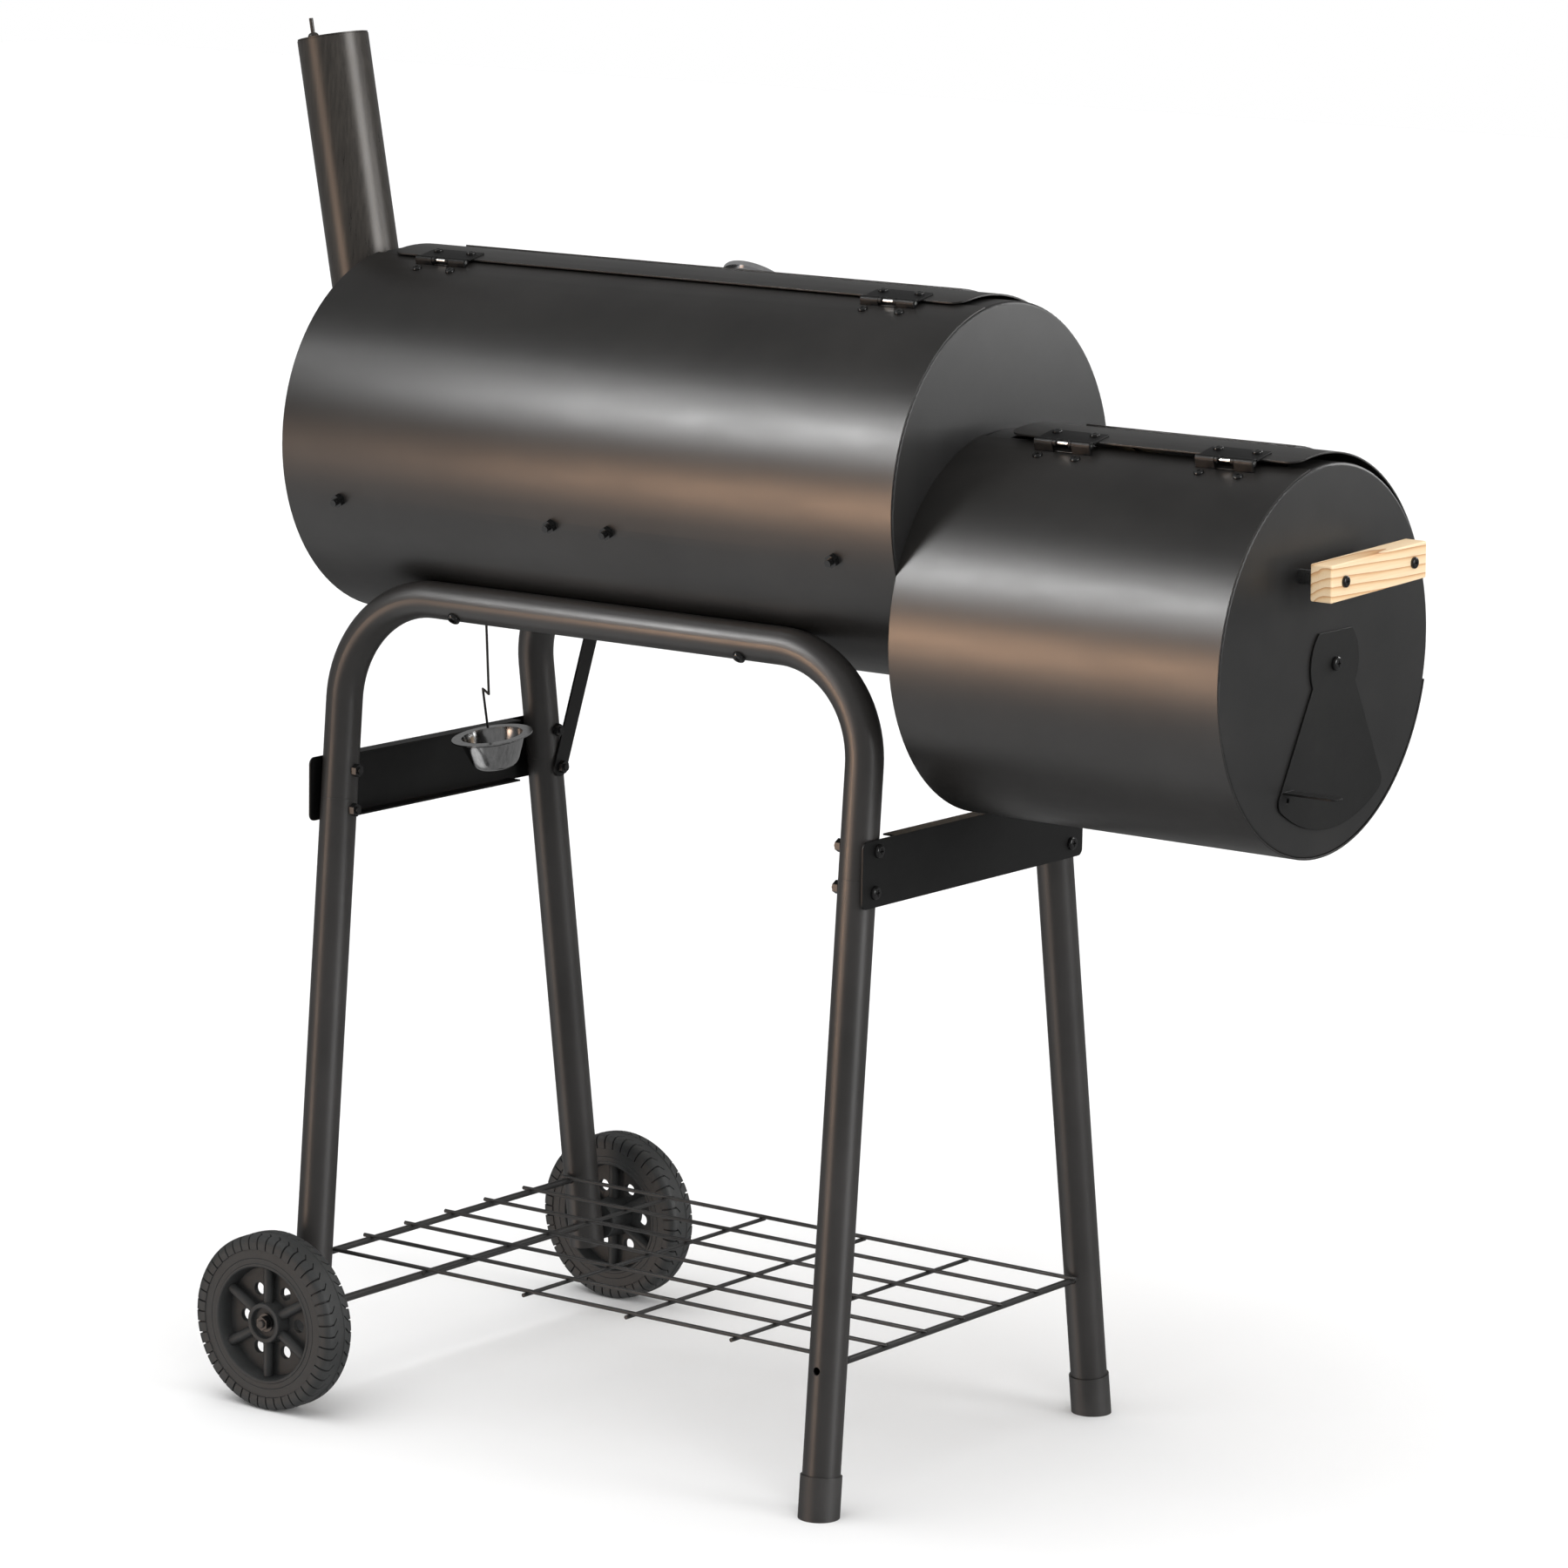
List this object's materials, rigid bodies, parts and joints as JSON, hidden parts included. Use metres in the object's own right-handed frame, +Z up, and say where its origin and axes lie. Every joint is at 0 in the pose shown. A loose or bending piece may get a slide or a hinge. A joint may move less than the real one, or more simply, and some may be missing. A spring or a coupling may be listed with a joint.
{
  "type": "offset smoker",
  "caption": "Offset smoker: horizontal cooking barrel with hinged lid, lower side firebox, leaning chimney, splayed tube stand with wire shelf and two wheels.",
  "frame": {"origin": "on the floor under the middle of the whole smoker", "axes": "+Z up; +X from the firebox towards the chimney; +Y towards the lid hinges, away from the user who stands at the front shelf"},
  "size_m": [1.1198, 0.6512, 1.1838],
  "materials": {
    "black_sheet": "satin",
    "chimney_steel": "satin",
    "black_tube": "semi-gloss",
    "black_wire": "satin",
    "grate_steel": "enamelled",
    "black_fasteners": "black oxide",
    "zinc": "zinc plated",
    "pine": "raw",
    "plastic": "matt",
    "bright_steel": "polished",
    "chrome": "polished",
    "dial": "matt",
    "glass": "clear",
    "needle": "satin"
  },
  "bodies": {
    "smoker": {"barrel_shell": "black_sheet", "barrel_end_cap_firebox_side": "black_sheet", "firebox_end_cap_barrel_side": "black_sheet", "barrel_end_cap_chimney_side": "black_sheet", "firebox_shell": "black_sheet", "firebox_end_cap_outer": "black_sheet", "cross_panel_foot_side": "black_sheet", "cross_panel_wheel_side": "black_sheet", "grate_rails": "black_sheet", "front_shelf_brackets": "black_sheet", "front_shelf_braces": "black_sheet", "fixed_hinge_leaves": "black_sheet", "chimney_pipe": "chimney_steel", "chimney_elbow": "chimney_steel", "rear_frame_tube": "black_tube", "front_frame_tube": "black_tube", "rear_leg_foot_side": "black_tube", "rear_leg_wheel_side": "black_tube", "front_leg_foot_side": "black_tube", "front_leg_wheel_side": "black_tube", "axle": "black_tube", "wire_shelf": "black_wire", "cooking_grate_left": "grate_steel", "cooking_grate_right": "grate_steel", "fire_grate": "grate_steel", "bolts": "black_fasteners", "nuts": "black_fasteners", "fixed_hinge_screws": "black_fasteners", "end_handle_fasteners": "black_fasteners", "vent_pivot_screw": "black_fasteners", "axle_nuts": "black_fasteners", "axle_washers": "black_fasteners", "hinge_pins": "zinc", "end_handle_sleeves": "zinc", "end_handle_bar": "pine", "front_shelf_slats": "pine", "foot_caps": "plastic"},
    "main_lid": {"main_lid": "black_sheet", "main_lid_hinge_leaves": "black_sheet", "main_lid_hinge_screws": "black_fasteners", "main_lid_handle_bar": "pine", "main_lid_handle_sleeves": "zinc", "main_lid_handle_fasteners": "black_fasteners", "thermometer_case": "chrome", "thermometer_dial": "dial", "thermometer_glass": "glass", "thermometer_nut": "zinc"},
    "needle": {"thermometer_needle": "needle"},
    "firebox_lid": {"firebox_lid": "black_sheet", "firebox_lid_hinge_leaves": "black_sheet", "firebox_lid_hinge_screws": "black_fasteners", "firebox_lid_handle_bar": "pine", "firebox_lid_handle_sleeves": "zinc", "firebox_lid_handle_fasteners": "black_fasteners"},
    "air_vent": {"air_vent": "black_sheet"},
    "chimney_flap": {"chimney_flap": "chimney_steel"},
    "rear_wheel": {"rear_wheel": "plastic"},
    "front_wheel": {"front_wheel": "plastic"},
    "grease_cup": {"grease_cup": "bright_steel", "grease_hanger": "zinc"}
  },
  "joints": [
    {"name": "main_lid_hinge", "type": "hinge", "parent": "smoker", "child": "main_lid", "pos_m": [0.12544, 0.11356, 0.98593], "axis": [-1, 0, 0], "range_deg": [0, 100]},
    {"name": "firebox_lid_hinge", "type": "hinge", "parent": "smoker", "child": "firebox_lid", "pos_m": [-0.36456, 0.11462, 0.88427], "axis": [-1, 0, 0], "range_deg": [0, 100]},
    {"name": "thermometer_needle_turn", "type": "hinge", "parent": "main_lid", "child": "needle", "pos_m": [0.13344, -0.02995, 0.96475], "axis": [0, 0.5736, -0.8192], "range_deg": [0, 250]},
    {"name": "air_vent_swing", "type": "hinge", "parent": "smoker", "child": "air_vent", "pos_m": [-0.50956, 0.0524, 0.722], "axis": [1, 0, 0], "range_deg": [-60, 60]},
    {"name": "chimney_flap_turn", "type": "hinge", "parent": "smoker", "child": "chimney_flap", "pos_m": [0.55053, 0.0644, 1.1638], "axis": [0.1908, 0, 0.9816], "range_deg": [0, 180]},
    {"name": "rear_wheel_spin", "type": "hinge", "parent": "smoker", "child": "rear_wheel", "pos_m": [0.38177, 0.3074, 0.0775], "axis": [0, 1, 0], "continuous": true},
    {"name": "front_wheel_spin", "type": "hinge", "parent": "smoker", "child": "front_wheel", "pos_m": [0.38177, -0.1786, 0.0775], "axis": [0, 1, 0], "continuous": true},
    {"name": "grease_cup_swing", "type": "hinge", "parent": "smoker", "child": "grease_cup", "pos_m": [0.34944, 0.0644, 0.6729], "axis": [1, 0, 0], "range_deg": [-20, 20]}
  ]
}
